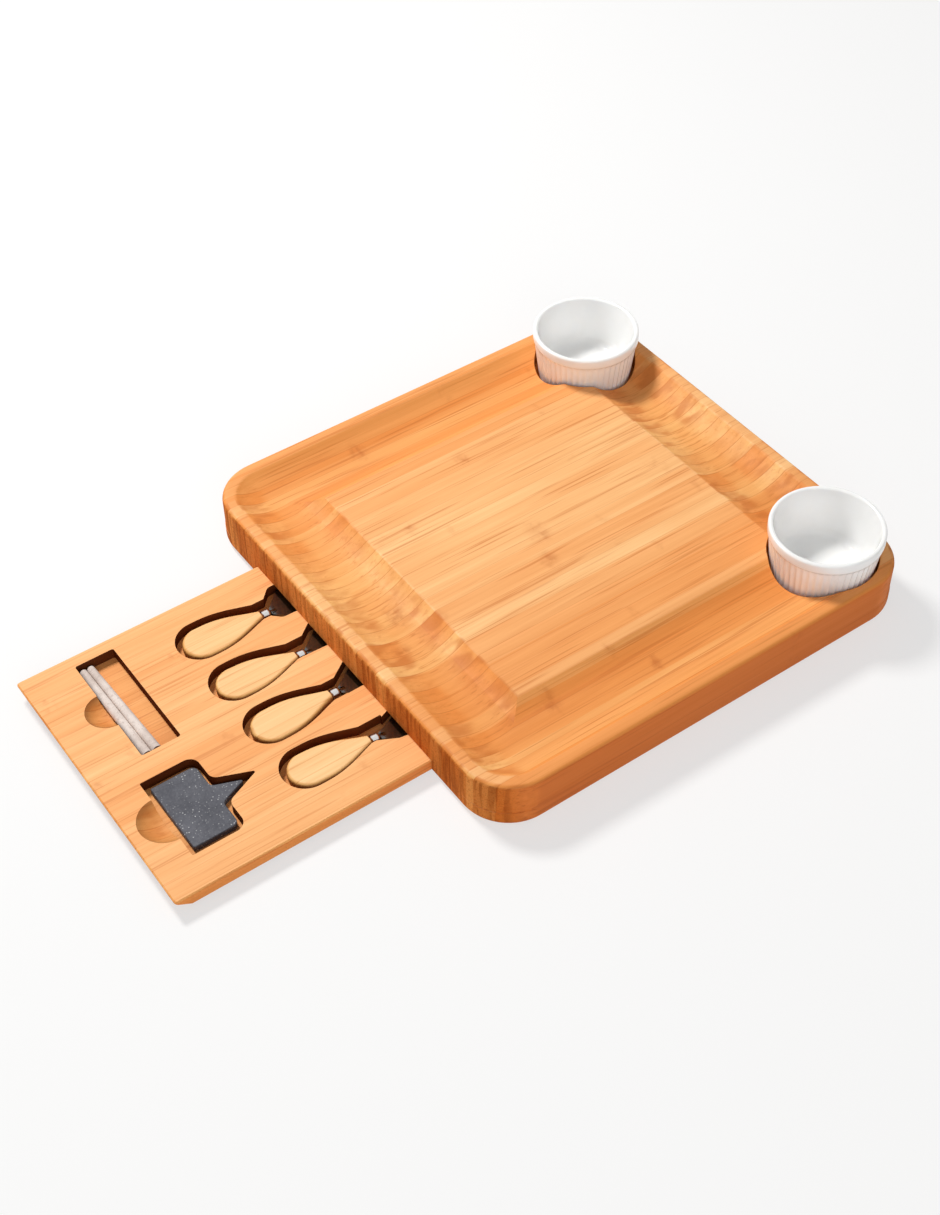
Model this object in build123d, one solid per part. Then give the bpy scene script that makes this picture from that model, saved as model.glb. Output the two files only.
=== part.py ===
from build123d import *
import math
import os

# A square bamboo cheese board: a raised platform with a shallow trough round it, two
# fluted bowls let into the back corners and a drawer of knives that slides out in front.
# Lengths are in millimetres. X runs to the right, the drawer opens toward -Y and Z is up.
# The origin is the middle of the board, on the table. The drawer stands open as modelled.

# Board outline
board_side = 330.0
board_height = 36.0
board_corner_radius = 33.0
top_edge_round = 3.0
foot_edge_round = 5.5

# Platform and the trough cut round it by a round-nosed cutter
rim_width = 9.0
trough_width = 50.0
trough_depth = 8.5

# Bowls and the sockets that they stand in
socket_inset = 42.0
socket_radius = 36.0
socket_depth = 16.7
bowl_seat_gap = 0.1
bowl_height = 40.0
bowl_rim_radius = 37.2
bowl_band_height = 7.5
bowl_band_step = 0.9
bowl_foot_radius = 32.6
bowl_foot_chamfer = 1.4
bowl_foot_recess = 1.0
bowl_foot_ring_width = 4.0
bowl_wall = 3.4
bowl_floor_thickness = 4.5
bowl_inner_round = 7.0
bowl_lip_round = 1.4
flute_count = 52
flute_depth = 0.5
flute_width_share = 0.86
flute_foot = 3.0

# Drawer
drawer_width = 200.0
drawer_open_by = 172.5
rear_rail_depth = 38.0
tray_thickness = 8.0
tray_corner_round = 2.0
tray_edge_chamfer = 0.8
sheet_thickness = 2.8
sheet_side_setback = 7.0
sheet_front_setback = 11.0
pull_land = 0.6
pull_undercut = 10.0

# Fits of the drawer in its bay
table_gap = 1.0
tray_top_gap = 0.4
tray_side_gap = 0.4
lip_top_gap = 0.3
lip_side_gap = 0.6
bay_rear_gap = 2.0

# Knives, set out side by side with their rounded handle ends toward the front
knife_pitch_share = 0.208
knife_row_shift = -2.0
knife_front_setback = 97.1
knife_side_shift = 0.9
knife_back_shift = 0.9
handle_length = 54.5
handle_width = 26.6
handle_thickness = 7.4
handle_neck_width = 7.2
handle_straight = 5.0
handle_swing_share = 0.32
handle_edge_round = 2.4
handle_foot_chamfer = 1.6
ferrule_radius = 3.5
ferrule_length = 7.5
ferrule_front_round = 2.4
ferrule_rear_chamfer = 1.6
tang_radius = 1.5
tang_depth = 22.0
tang_lap = 4.0
tang_gap = 0.05
tang_end_gap = 1.0
blade_thickness = 1.6
blade_neck_width = 5.0
blade_neck_length = 1.0
blade_corner_round = 2.0
blade_edge_land = 0.5
blade_edge_bevel = 2.5

# Reach of each blade to the left and the right of its own handle, its length, the lean
# of its shoulder as rise over reach, and how far the loose knife has turned in its pocket
flat_left = 16.0
flat_right = 10.5
flat_length = 58.0
flat_shoulder_share = 0.9
flat_waist_share = 0.9
flat_turn = 1.0
pronged_left = 16.2
pronged_right = 2.6
pronged_length = 66.0
pronged_shoulder_share = 1.1
pronged_belly_share = 0.62
pronged_turn = 2.7
prong_span = 9.0
prong_gap = 3.6
prong_depth = 10.0
cleaver_left = 21.0
cleaver_right = 5.5
cleaver_length = 61.0
cleaver_shoulder_share = 1.45
cleaver_turn = -0.6
spade_left = 12.6
spade_right = 8.0
spade_length = 64.0
spade_shoulder_share = 2.0
spade_belly_share = 0.55
spade_tip_width = 3.0
spade_turn = 3.2

# Pockets for the knives
handle_pocket_gap = 3.2
neck_pocket_width = 15.4
blade_pocket_gap = 2.2
blade_pocket_front_gap = 3.5
pocket_corner_round = 1.5

# Chalk and its pocket
chalk_thick_radius = 3.2
chalk_thin_radius = 2.5
chalk_seat_gap = 0.05
chalk_end_gap = 2.3
chalk_wall_gap = 1.2
chalk_pair_gap = 0.15
chalk_pocket_width = 26.6
chalk_pocket_left_inset = 9.4
chalk_pocket_front_setback = 35.5
chalk_scoop_radius = 14.0
chalk_scoop_depth = 6.5

# Slate marker and its pocket
slate_width = 52.0
slate_body_length = 30.0
slate_tail_width = 15.0
slate_tail_length = 19.0
slate_corner_round = 1.0
slate_back_round = 4.0
slate_tail_fillet = 4.0
slate_thickness = 4.5
slate_edge_round = 0.4
slate_seat_gap = 0.05
slate_side_shift = -1.2
slate_side_gap = 5.5
slate_front_gap = 4.3
slate_back_gap = 2.1
slate_tail_side_gap = 3.0
slate_tail_end_gap = 8.0
slate_pocket_middle_inset = 54.5
slate_pocket_front_setback = 24.1
slate_pocket_back_round = 7.0
slate_pocket_tail_fillet = 6.0
slate_scoop_radius = 17.0
slate_scoop_depth = 7.0
pocket_bridge = 18.0

# A cut runs this far past the face that it opens through
overrun = 2.0

# Levels, from the table up
sheet_bottom = table_gap
tray_bottom = sheet_bottom + sheet_thickness
tray_top = tray_bottom + tray_thickness
lip_top = tray_bottom - lip_top_gap
bay_ceiling = tray_top + tray_top_gap
socket_floor = board_height - socket_depth
bowl_bottom = socket_floor + bowl_seat_gap
knife_level = tray_bottom + handle_thickness / 2

# Places along and across the board
board_half = board_side / 2
board_front = -board_half
drawer_half = drawer_width / 2
drawer_length = board_side - rear_rail_depth - bay_rear_gap
drawer_front = board_front - drawer_open_by
drawer_rear = drawer_front + drawer_length
bay_half = drawer_half + tray_side_gap
lip_half = drawer_half - sheet_side_setback + lip_side_gap
bay_rear = board_half - rear_rail_depth
socket_reach = board_half - socket_inset
knife_pitch = drawer_width * knife_pitch_share
handle_half = handle_width / 2
handle_round_y = drawer_front + knife_front_setback + handle_half
ferrule_start = handle_length - handle_half
blade_root = ferrule_start + ferrule_length
blade_neck_half = blade_neck_width / 2


def block(low, high):
    """A box between two opposite corners."""
    size = [b - a for a, b in zip(low, high)]
    middle = [(a + b) / 2 for a, b in zip(low, high)]
    return Pos(*middle) * Box(*size)


def plate(outline, low, high):
    """An outline drawn on the table plane, raised between two levels."""
    return Pos(0, 0, low) * extrude(outline, high - low)


def board_outline():
    return RectangleRounded(board_side, board_side, board_corner_radius)


# The trough: a round-nosed cutter goes round a square path. Each side of the path leaves a
# cylinder and each turn of it a quarter ball, so the inner slopes meet in a crease that
# runs out from the platform's corner while the outer slope turns in a smooth bowl.
cutter_half = trough_width / 2
cutter_radius = (cutter_half**2 + trough_depth**2) / (2 * trough_depth)
cutter_level = board_height - trough_depth + cutter_radius
path_half = board_half - rim_width - cutter_half


def trough_cutter():
    side_run = Rot(0, 90, 0) * Cylinder(cutter_radius, 2 * path_half)
    turn = Sphere(cutter_radius, arc_size3=90, align=None)
    cutter = None
    for quarter in range(4):
        spin = Rot(0, 0, 90 * quarter)
        run = spin * Pos(0, path_half, cutter_level) * side_run
        corner = spin * Pos(path_half, path_half, cutter_level) * turn
        cutter = run + corner if cutter is None else cutter + run + corner
    return cutter


def make_top_board():
    slab = plate(board_outline(), bay_ceiling, board_height)
    slab = fillet(slab.edges().group_by(Axis.Z)[-1], top_edge_round)
    slab -= trough_cutter()
    socket = Cylinder(socket_radius, socket_depth + overrun, align=(Align.CENTER, Align.CENTER, Align.MIN))
    for side in (-1, 1):
        slab -= Pos(side * socket_reach, socket_reach, socket_floor) * socket
    return slab


def make_rails():
    """The frame under the slab, cut from one blank: left rail, right rail and rear rail."""
    blank = plate(board_outline(), 0, bay_ceiling)
    blank = fillet(blank.edges().group_by(Axis.Z)[0], foot_edge_round)
    behind = block((-bay_half, bay_rear, 0), (bay_half, board_half, bay_ceiling))
    rear = blank & behind
    bay = block(
        (-bay_half, board_front - overrun, lip_top),
        (bay_half, board_half + overrun, bay_ceiling + overrun),
    )
    slot = block((-lip_half, board_front - overrun, -overrun), (lip_half, board_half + overrun, bay_ceiling))
    sides = blank - bay - slot - behind
    left, right = sides.solids().sort_by(Axis.X)
    return left, right, rear


def bowl_profile():
    """Half of the bowl cut down its axis, with the foot on the zero level."""
    body_top = bowl_height - bowl_band_height
    body_radius = bowl_rim_radius - bowl_band_step
    inner_top = bowl_rim_radius - bowl_wall
    inner_low = bowl_foot_radius - bowl_wall
    ring_inner = bowl_foot_radius - bowl_foot_ring_width
    outline = Polyline(
        (0, bowl_foot_recess),
        (ring_inner, bowl_foot_recess),
        (ring_inner, 0),
        (bowl_foot_radius, 0),
        (body_radius, body_top),
        (bowl_rim_radius, body_top + bowl_band_step),
        (bowl_rim_radius, bowl_height),
        (inner_top, bowl_height),
        (inner_low, bowl_floor_thickness),
        (0, bowl_floor_thickness),
        close=True,
    )
    face = make_face(outline)
    foot = face.vertices().sort_by_distance((bowl_foot_radius, 0, 0))[0]
    face = chamfer(foot, bowl_foot_chamfer)
    for place, radius in (
        ((bowl_rim_radius, bowl_height), bowl_lip_round),
        ((inner_top, bowl_height), bowl_lip_round),
        ((inner_low, bowl_floor_thickness), bowl_inner_round),
    ):
        corner = face.vertices().sort_by_distance((*place, 0))[0]
        face = fillet(corner, radius)
    return face


def make_bowl():
    bowl = revolve(Rot(90, 0, 0) * bowl_profile(), Axis.Z)
    # One flute is a shallow V pressed down the sloping side, from under the band to near the foot.
    body_top = bowl_height - bowl_band_height
    body_radius = bowl_rim_radius - bowl_band_step
    lean = math.degrees(math.atan2(body_radius - bowl_foot_radius, body_top))
    flute_half = math.pi * bowl_foot_radius / flute_count * flute_width_share
    mouth_half = flute_half * (flute_depth + overrun) / flute_depth
    vee = make_face(Polyline((-flute_depth, 0), (overrun, mouth_half), (overrun, -mouth_half), close=True))
    flute_top = body_top - bowl_band_step
    press = Rot(0, lean, 0) * extrude(vee, flute_foot - flute_top)
    press = Pos(body_radius, 0, flute_top) * press
    return bowl - [Rot(0, 0, 360 * turn / flute_count) * press for turn in range(flute_count)]


# Each knife is drawn about the middle of its handle's round end, pointing to +Y, and is
# then turned a little and laid in its pocket.
def handle_outline(half, neck_half):
    """A teardrop: a round end, two short straights and a long swing in to the neck.
    A handle and its pocket are both drawn so, the pocket wider."""
    edges = [
        ThreePointArc((-half, 0), (0, -half), (half, 0)),
        Line((half, 0), (half, handle_straight)),
        Spline(
            (half, handle_straight),
            (neck_half, ferrule_start),
            tangents=[(0, 1), (-handle_swing_share, 1)],
        ),
        Line((neck_half, ferrule_start), (-neck_half, ferrule_start)),
        Spline(
            (-neck_half, ferrule_start),
            (-half, handle_straight),
            tangents=[(-handle_swing_share, -1), (0, -1)],
        ),
        Line((-half, handle_straight), (-half, 0)),
    ]
    return make_face(Curve() + edges)


def shoulder_rise(reach, lean_share):
    """Where a blade's shoulder ends: it leans out from the neck to the blade's full reach."""
    return blade_neck_length + (reach - blade_neck_half) * lean_share


def rounded_blade(outline):
    """A blade's outline with every corner rounded but the two at its root."""
    face = make_face(outline)
    corners = [v for v in face.vertices() if v.Y > blade_neck_length]
    return fillet(corners, blade_corner_round)


def flat_blank():
    waist_left = flat_left * flat_waist_share
    waist_right = flat_right * flat_waist_share
    outline = Polyline(
        (-blade_neck_half, 0),
        (-waist_left, shoulder_rise(waist_left, flat_shoulder_share)),
        (-flat_left, flat_length),
        (flat_right, flat_length),
        (waist_right, shoulder_rise(waist_right, flat_shoulder_share)),
        (blade_neck_half, 0),
        close=True,
    )
    return rounded_blade(outline)


def pronged_blank():
    outline = Polyline(
        (-blade_neck_half, 0),
        (-pronged_left, shoulder_rise(pronged_left, pronged_shoulder_share)),
        (-pronged_left, pronged_length * pronged_belly_share),
        (pronged_right - prong_span, pronged_length),
        (pronged_right, pronged_length),
        (pronged_right, 0),
        close=True,
    )
    return rounded_blade(outline)


def prong_notch():
    """The slot between the two prongs, round at its inner end."""
    middle = pronged_right - prong_span / 2
    start = pronged_length - prong_depth
    return SlotCenterPoint((middle, pronged_length + overrun), (middle, start), prong_gap)


def cleaver_blank():
    outline = Polyline(
        (-blade_neck_half, 0),
        (-cleaver_left, shoulder_rise(cleaver_left, cleaver_shoulder_share)),
        (-cleaver_left, cleaver_length),
        (cleaver_right, cleaver_length),
        (cleaver_right, shoulder_rise(cleaver_right, cleaver_shoulder_share)),
        (blade_neck_half, 0),
        close=True,
    )
    return rounded_blade(outline)


def spade_blank():
    """Two leaning shoulders that run on in two bows to a narrow tip."""
    left = (-spade_left, shoulder_rise(spade_left, spade_shoulder_share))
    right = (spade_right, shoulder_rise(spade_right, spade_shoulder_share))
    tip_x = (spade_right - spade_left) / 2
    tip_left = (tip_x - spade_tip_width / 2, spade_length)
    tip_right = (tip_x + spade_tip_width / 2, spade_length)
    bow_y = spade_length * spade_belly_share
    edges = [
        Line((-blade_neck_half, 0), left),
        ThreePointArc(left, (-spade_left, bow_y), tip_left),
        Line(tip_left, tip_right),
        ThreePointArc(tip_right, (spade_right, bow_y), right),
        Line(right, (blade_neck_half, 0)),
        Line((blade_neck_half, 0), (-blade_neck_half, 0)),
    ]
    return make_face(Curve() + edges)


knives = [
    ("flat_knife", flat_blank(), flat_turn),
    ("pronged_knife", pronged_blank(), pronged_turn),
    ("cleaver", cleaver_blank(), cleaver_turn),
    ("spade_knife", spade_blank(), spade_turn),
]


def pocket_axis(place):
    """Middle line of one knife's pocket; the pockets are evenly spaced across the tray."""
    return knife_row_shift + (place - (len(knives) - 1) / 2) * knife_pitch


def knife_place(place, turn):
    """Where a knife lies: a little to the right and the back of its pocket, turned."""
    x = pocket_axis(place) + knife_side_shift
    return Pos(x, handle_round_y + knife_back_shift, 0) * Rot(0, 0, -turn)


def along_knife(radius, start, end):
    """A rod on a knife's own axis."""
    rod = Rot(90, 0, 0) * Cylinder(radius, end - start)
    return Pos(0, (start + end) / 2, knife_level) * rod


def rim_edges(handle, level):
    """The edges round a handle's underside or its top, but for the one across its neck."""
    rim = handle.edges().group_by(Axis.Z)[level]
    return [edge for edge in rim if edge.center().Y < ferrule_start - overrun]


def make_handle():
    outline = handle_outline(handle_half, handle_neck_width / 2)
    handle = plate(outline, tray_bottom, tray_bottom + handle_thickness)
    handle = fillet(rim_edges(handle, -1), handle_edge_round)
    handle = chamfer(rim_edges(handle, 0), handle_foot_chamfer)
    bore_end = ferrule_start - tang_depth - tang_end_gap
    return handle - along_knife(tang_radius + tang_gap, bore_end, ferrule_start + overrun)


def make_ferrule():
    ferrule = along_knife(ferrule_radius, ferrule_start, blade_root)
    ferrule = fillet(ferrule.edges().sort_by(Axis.Y)[-1], ferrule_front_round)
    ferrule = chamfer(ferrule.edges().sort_by(Axis.Y)[0], ferrule_rear_chamfer)
    return ferrule - along_knife(tang_radius + tang_gap, ferrule_start - overrun, blade_root + overrun)


def keen_wedge(edge, inward):
    """What the grinder takes off the top of a cutting edge, drawn across the edge."""
    low = knife_level - blade_thickness / 2 + blade_edge_land
    high = knife_level + blade_thickness / 2
    return make_face(
        Polyline(
            (edge - inward * overrun, low),
            (edge, low),
            (edge + inward * blade_edge_bevel, high),
            (edge + inward * blade_edge_bevel, high + overrun),
            (edge - inward * overrun, high + overrun),
            close=True,
        )
    )


def make_blade(name, blank):
    low = knife_level - blade_thickness / 2
    high = low + blade_thickness
    blade = plate(Pos(0, blade_root) * blank, low, high)
    if name == "flat_knife":
        blade -= extrude(Plane.YZ * keen_wedge(blade_root + flat_length, -1), drawer_width, both=True)
    if name == "cleaver":
        blade -= extrude(Plane.XZ * keen_wedge(-cleaver_left, 1), drawer_length, both=True)
    if name == "pronged_knife":
        blade -= plate(Pos(0, blade_root) * prong_notch(), low - overrun, high + overrun)
    return blade + along_knife(tang_radius, ferrule_start - tang_depth, blade_root + tang_lap)


def tag_outline(width, body_length, tail_width, tail_length, back_round, tail_fillet):
    """A tag with a square front and a pointed tail, drawn from the middle of its front edge."""
    half = width / 2
    tail_half = tail_width / 2
    face = make_face(
        Polyline(
            (-half, 0),
            (half, 0),
            (half, body_length),
            (tail_half, body_length),
            (0, body_length + tail_length),
            (-tail_half, body_length),
            (-half, body_length),
            close=True,
        )
    )
    for side in (-1, 1):
        for x, y, radius in (
            (side * half, 0, slate_corner_round),
            (side * half, body_length, back_round),
            (side * tail_half, body_length, tail_fillet),
        ):
            face = fillet(face.vertices().sort_by_distance((x, y, 0))[0], radius)
    tip = face.vertices().sort_by(Axis.Y)[-1]
    return fillet(tip, slate_corner_round)


slate_pocket_x = drawer_half - slate_pocket_middle_inset
slate_pocket_width = slate_width + 2 * slate_side_gap
slate_pocket_front = drawer_front + slate_pocket_front_setback


def slate_pocket():
    tail_length = slate_tail_length + slate_tail_end_gap - slate_back_gap
    outline = tag_outline(
        slate_pocket_width,
        slate_body_length + slate_front_gap + slate_back_gap,
        slate_tail_width + 2 * slate_tail_side_gap,
        tail_length,
        slate_pocket_back_round,
        slate_pocket_tail_fillet,
    )
    return Pos(slate_pocket_x, slate_pocket_front) * outline


def make_slate():
    outline = tag_outline(
        slate_width,
        slate_body_length,
        slate_tail_width,
        slate_tail_length,
        slate_back_round,
        slate_tail_fillet,
    )
    placed = Pos(slate_pocket_x + slate_side_shift, slate_pocket_front + slate_front_gap) * outline
    low = tray_bottom + slate_seat_gap
    slate = plate(placed, low, low + slate_thickness)
    return chamfer(slate.edges().group_by(Axis.Z)[-1], slate_edge_round)


# The chalk pocket fills the room between the tray's left edge and the slate's pocket.
chalk_pocket_left = -drawer_half + chalk_pocket_left_inset
chalk_pocket_right = slate_pocket_x - slate_pocket_width / 2 - pocket_bridge
chalk_pocket_length = chalk_pocket_right - chalk_pocket_left
chalk_pocket_front = drawer_front + chalk_pocket_front_setback
chalk_middle_x = (chalk_pocket_left + chalk_pocket_right) / 2
chalk_length = chalk_pocket_length - 2 * chalk_end_gap
chalk_middle_radius = (chalk_thick_radius + chalk_thin_radius) / 2
chalk_lean = math.degrees(math.asin((chalk_thick_radius - chalk_thin_radius) / chalk_length))


def chalk_pocket():
    pocket = RectangleRounded(chalk_pocket_length, chalk_pocket_width, pocket_corner_round)
    return Pos(chalk_middle_x, chalk_pocket_front + chalk_pocket_width / 2) * pocket


def make_chalk(row):
    """A moulded stick, thinner to the left, that lies on its side against the one in front of it."""
    stick = Rot(0, 90, 0) * Cone(chalk_thin_radius, chalk_thick_radius, chalk_length)
    stick = Rot(0, 0, chalk_lean) * Rot(0, -chalk_lean, 0) * stick
    step = 2 * chalk_middle_radius + chalk_pair_gap
    beside = Rot(0, 0, 2 * row * chalk_lean) * Pos(0, row * step)
    y = chalk_pocket_front + chalk_wall_gap + chalk_middle_radius
    return Pos(chalk_middle_x, y, tray_bottom + chalk_seat_gap + chalk_middle_radius) * beside * stick


def knife_pocket(place, blank, turn):
    """Room for the handle, for the neck and, behind them, for the blade as it lies."""
    at_pocket = Pos(pocket_axis(place), handle_round_y)
    handle_room = at_pocket * handle_outline(handle_half + handle_pocket_gap, neck_pocket_width / 2)
    neck_room = Rectangle(neck_pocket_width, 2 * ferrule_length + overrun)
    neck_room = at_pocket * Pos(0, blade_root) * neck_room
    blade_room = offset(blank, blade_pocket_gap)
    blade_room += Pos(0, -blade_pocket_front_gap) * blade_room
    return handle_room + neck_room + knife_place(place, turn) * Pos(0, blade_root) * blade_room


def finger_scoop(x, y, radius, depth):
    """The ball that dishes a pocket's front edge so that a fingertip can get under."""
    ball = (radius**2 + depth**2) / (2 * depth)
    return Pos(x, y, tray_top - depth + ball) * Sphere(ball)


def make_tray():
    tray = block((-drawer_half, drawer_front, tray_bottom), (drawer_half, drawer_rear, tray_top))
    tray = fillet(tray.edges().filter_by(Axis.Z), tray_corner_round)
    tray = chamfer(tray.edges().group_by(Axis.Z)[-1], tray_edge_chamfer)
    # The front edge is undercut so that fingertips can pull it.
    undercut = make_face(
        Polyline(
            (drawer_front - overrun, tray_top - tray_edge_chamfer - pull_land),
            (drawer_front, tray_top - tray_edge_chamfer - pull_land),
            (drawer_front + pull_undercut, tray_bottom),
            (drawer_front + pull_undercut, tray_bottom - overrun),
            (drawer_front - overrun, tray_bottom - overrun),
            close=True,
        )
    )
    tray -= extrude(Plane.YZ * undercut, drawer_width, both=True)
    pockets = [chalk_pocket(), slate_pocket()]
    for place, (_, blank, turn) in enumerate(knives):
        pockets.append(knife_pocket(place, blank, turn))
    for pocket in pockets:
        tray -= plate(pocket, tray_bottom - overrun, tray_top + overrun)
    tray -= finger_scoop(chalk_middle_x, chalk_pocket_front, chalk_scoop_radius, chalk_scoop_depth)
    tray -= finger_scoop(slate_pocket_x, slate_pocket_front, slate_scoop_radius, slate_scoop_depth)
    return tray


def make_sheet():
    half = drawer_half - sheet_side_setback
    return block((-half, drawer_front + sheet_front_setback, sheet_bottom), (half, drawer_rear, tray_bottom))


nodes = {"top_board": make_top_board()}
nodes["left_side_rail"], nodes["right_side_rail"], nodes["rear_rail"] = make_rails()
nodes["drawer_tray"] = make_tray()
nodes["drawer_bottom"] = make_sheet()
for place, (name, blank, turn) in enumerate(knives):
    nodes[name + "_handle"] = knife_place(place, turn) * make_handle()
    nodes[name + "_ferrule"] = knife_place(place, turn) * make_ferrule()
    nodes[name + "_blade"] = knife_place(place, turn) * make_blade(name, blank)
nodes["slate_marker"] = make_slate()
nodes["front_chalk_stick"] = make_chalk(0)
nodes["rear_chalk_stick"] = make_chalk(1)
bowl = make_bowl()
nodes["left_bowl"] = Pos(-socket_reach, socket_reach, bowl_bottom) * bowl
nodes["right_bowl"] = Pos(socket_reach, socket_reach, bowl_bottom) * bowl

os.makedirs("parts", exist_ok=True)
for name, shape in nodes.items():
    export_step(shape, "parts/" + name + ".step")
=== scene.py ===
# %% [markdown]
# # A bamboo cheese board with a knife drawer
#
# The solid model already has every piece in its place and says how the drawer slides and
# how the bowls lift out. This lesson dresses it: it loads the solids as a fixed frame, models
# the pieces whose soft edges matter most, and gives every surface a finish made from nodes.
# All lengths are in metres, and the origin is the middle of the board, on the table.

# %% Load the frame
import math

import bmesh
import bpy
from mathutils import Matrix, Vector


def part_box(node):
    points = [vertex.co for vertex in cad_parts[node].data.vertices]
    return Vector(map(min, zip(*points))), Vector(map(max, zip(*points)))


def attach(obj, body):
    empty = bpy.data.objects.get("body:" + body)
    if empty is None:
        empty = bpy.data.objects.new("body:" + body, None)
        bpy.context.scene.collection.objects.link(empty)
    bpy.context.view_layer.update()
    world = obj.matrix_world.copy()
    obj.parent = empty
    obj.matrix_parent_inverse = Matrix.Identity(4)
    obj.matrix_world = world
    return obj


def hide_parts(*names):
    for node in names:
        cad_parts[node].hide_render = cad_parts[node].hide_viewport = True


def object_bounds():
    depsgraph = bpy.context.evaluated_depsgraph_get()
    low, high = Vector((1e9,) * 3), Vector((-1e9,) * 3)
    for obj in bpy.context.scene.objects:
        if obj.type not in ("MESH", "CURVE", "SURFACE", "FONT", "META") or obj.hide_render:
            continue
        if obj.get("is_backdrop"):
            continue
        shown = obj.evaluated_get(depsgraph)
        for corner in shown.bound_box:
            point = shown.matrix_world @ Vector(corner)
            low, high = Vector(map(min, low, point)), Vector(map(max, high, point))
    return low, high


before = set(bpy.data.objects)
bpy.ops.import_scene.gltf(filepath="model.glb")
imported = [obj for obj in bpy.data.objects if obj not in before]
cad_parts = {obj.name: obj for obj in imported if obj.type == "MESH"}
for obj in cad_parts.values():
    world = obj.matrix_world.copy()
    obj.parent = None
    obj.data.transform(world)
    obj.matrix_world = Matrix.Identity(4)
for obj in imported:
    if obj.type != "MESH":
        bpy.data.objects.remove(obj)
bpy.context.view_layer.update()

# %% [markdown]
# ## Wiring a finish
#
# A finish is a tree of shader nodes. Typing every node and every wire by hand hides the idea
# behind the typing, so a small class comes first. It adds nodes and fills in their sockets,
# and it has short names for what is done most: arithmetic, soft steps, mixed colours, noise
# and bumps. A socket that gets a plain number or colour keeps it as its own value, and a
# socket that gets another node's output is wired.

# %% Helpers for finishes


class Finish:
    """One material and the tree that it is wired from."""

    def __init__(self, name):
        self.material = bpy.data.materials.new(name)
        self.material.use_nodes = True
        self.tree = self.material.node_tree
        self.shader = next(n for n in self.tree.nodes if n.type == "BSDF_PRINCIPLED")

    def add(self, kind, sockets=None, **settings):
        made = self.tree.nodes.new("ShaderNode" + kind)
        for key, value in settings.items():
            setattr(made, key, value)
        for key, value in (sockets or {}).items():
            self.fill(made.inputs[key], value)
        return made

    def fill(self, socket, value):
        if isinstance(value, bpy.types.NodeSocket):
            self.tree.links.new(value, socket)
        elif socket.type == "RGBA":
            socket.default_value = (*value[:3], 1.0)
        else:
            socket.default_value = value

    def calc(self, operation, first, second=0.0, third=0.0):
        made = self.add("Math", operation=operation)
        for socket, value in zip(made.inputs, (first, second, third)):
            self.fill(socket, value)
        return made.outputs[0]

    def times(self, first, second):
        return self.calc("MULTIPLY", first, second)

    def line(self, value, rise, start):
        """A value on a straight line: the start, and a rise for each unit."""
        return self.calc("MULTIPLY_ADD", value, rise, start)

    def ramp(self, value, low, high, out_low=0.0, out_high=1.0):
        """A soft step of a value between two limits."""
        made = self.add("MapRange", interpolation_type="SMOOTHSTEP")
        for key, number in zip(("Value", "From Min", "From Max", "To Min", "To Max"),
                               (value, low, high, out_low, out_high)):
            self.fill(made.inputs[key], number)
        return made.outputs["Result"]

    def blend(self, share, first, second, how="MIX"):
        made = self.add("Mix", data_type="RGBA", blend_type=how)
        for place, value in ((0, share), (6, first), (7, second)):
            self.fill(made.inputs[place], value)
        return made.outputs[2]

    def noise(self, vector, scale, detail=2.0, roughness=0.5):
        sockets = {"Vector": vector, "Scale": scale, "Detail": detail, "Roughness": roughness}
        return self.add("TexNoise", sockets).outputs["Fac"]

    def place(self, vector, scale=(1, 1, 1), turn=(0, 0, 0), shift=(0, 0, 0)):
        sockets = {"Vector": vector, "Scale": scale, "Rotation": turn, "Location": shift}
        return self.add("Mapping", sockets).outputs[0]

    def bump(self, height, strength, distance):
        sockets = {"Height": height, "Strength": strength, "Distance": distance}
        self.fill(self.shader.inputs["Normal"], self.add("Bump", sockets).outputs[0])

    def set(self, **values):
        for key, value in values.items():
            self.fill(self.shader.inputs[key.replace("_", " ")], value)


def from_screen(red, green, blue):
    """A colour as it is read on a screen, 0 to 255, as the linear light that a shader needs."""
    parts = [v / 255 for v in (red, green, blue)]
    return [p / 12.92 if p <= 0.04045 else ((p + 0.055) / 1.055) ** 2.4 for p in parts]


print("helpers ready; a screen grey of 128 is", round(from_screen(128, 128, 128)[0], 3))

# %% [markdown]
# ## Bamboo: places and faces
#
# The board is glued up from flat strips of bamboo that all run front to back. One tree makes
# the wood from the place of each point in the board, so the strips line up over the rim, down
# the trough and along the platform as they do in real wood, with no unwrapping. The tree
# begins with where a point is and which way its face looks. Slopes that look along the cane
# matter most, because they cut every strip at a slant.

# %% Places and faces


def read_place(f, shift, turn):
    """Where a point is across, along and up the cane, and which way its face looks."""
    coords = f.add("TexCoord").outputs
    f.raw = coords["Object"]
    f.spot = f.place(f.raw, turn=(0, 0, turn), shift=(shift, shift * 1.7, 0))
    f.across, f.along, f.up = f.add("SeparateXYZ", {"Vector": f.spot}).outputs
    facing = f.add("SeparateXYZ", {"Vector": f.place(coords["Normal"], turn=(0, 0, turn))}).outputs
    f.endwise = f.calc("ABSOLUTE", facing["Y"])
    f.flatness = f.calc("ABSOLUTE", facing["Z"])
    f.slope = f.times(f.ramp(f.endwise, 0.04, 0.25), f.ramp(f.flatness, 0.45, 0.7))


print("places and faces ready")

# %% [markdown]
# ## Bamboo: strips
#
# Every strip of cane has its own tint. For the top board the strips are listed, each with its
# start and how deep its tint is; for the rest a cell texture that varies only across the cane
# draws strips of uneven width. Narrow strips inside the broad ones draw three chances each: a
# tint, a start along the cane, and the luck that later says which of them show a knuckle.

# %% Strips
board_mm = 330
narrow_strip = 0.011
broad_strip = 0.027


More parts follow.
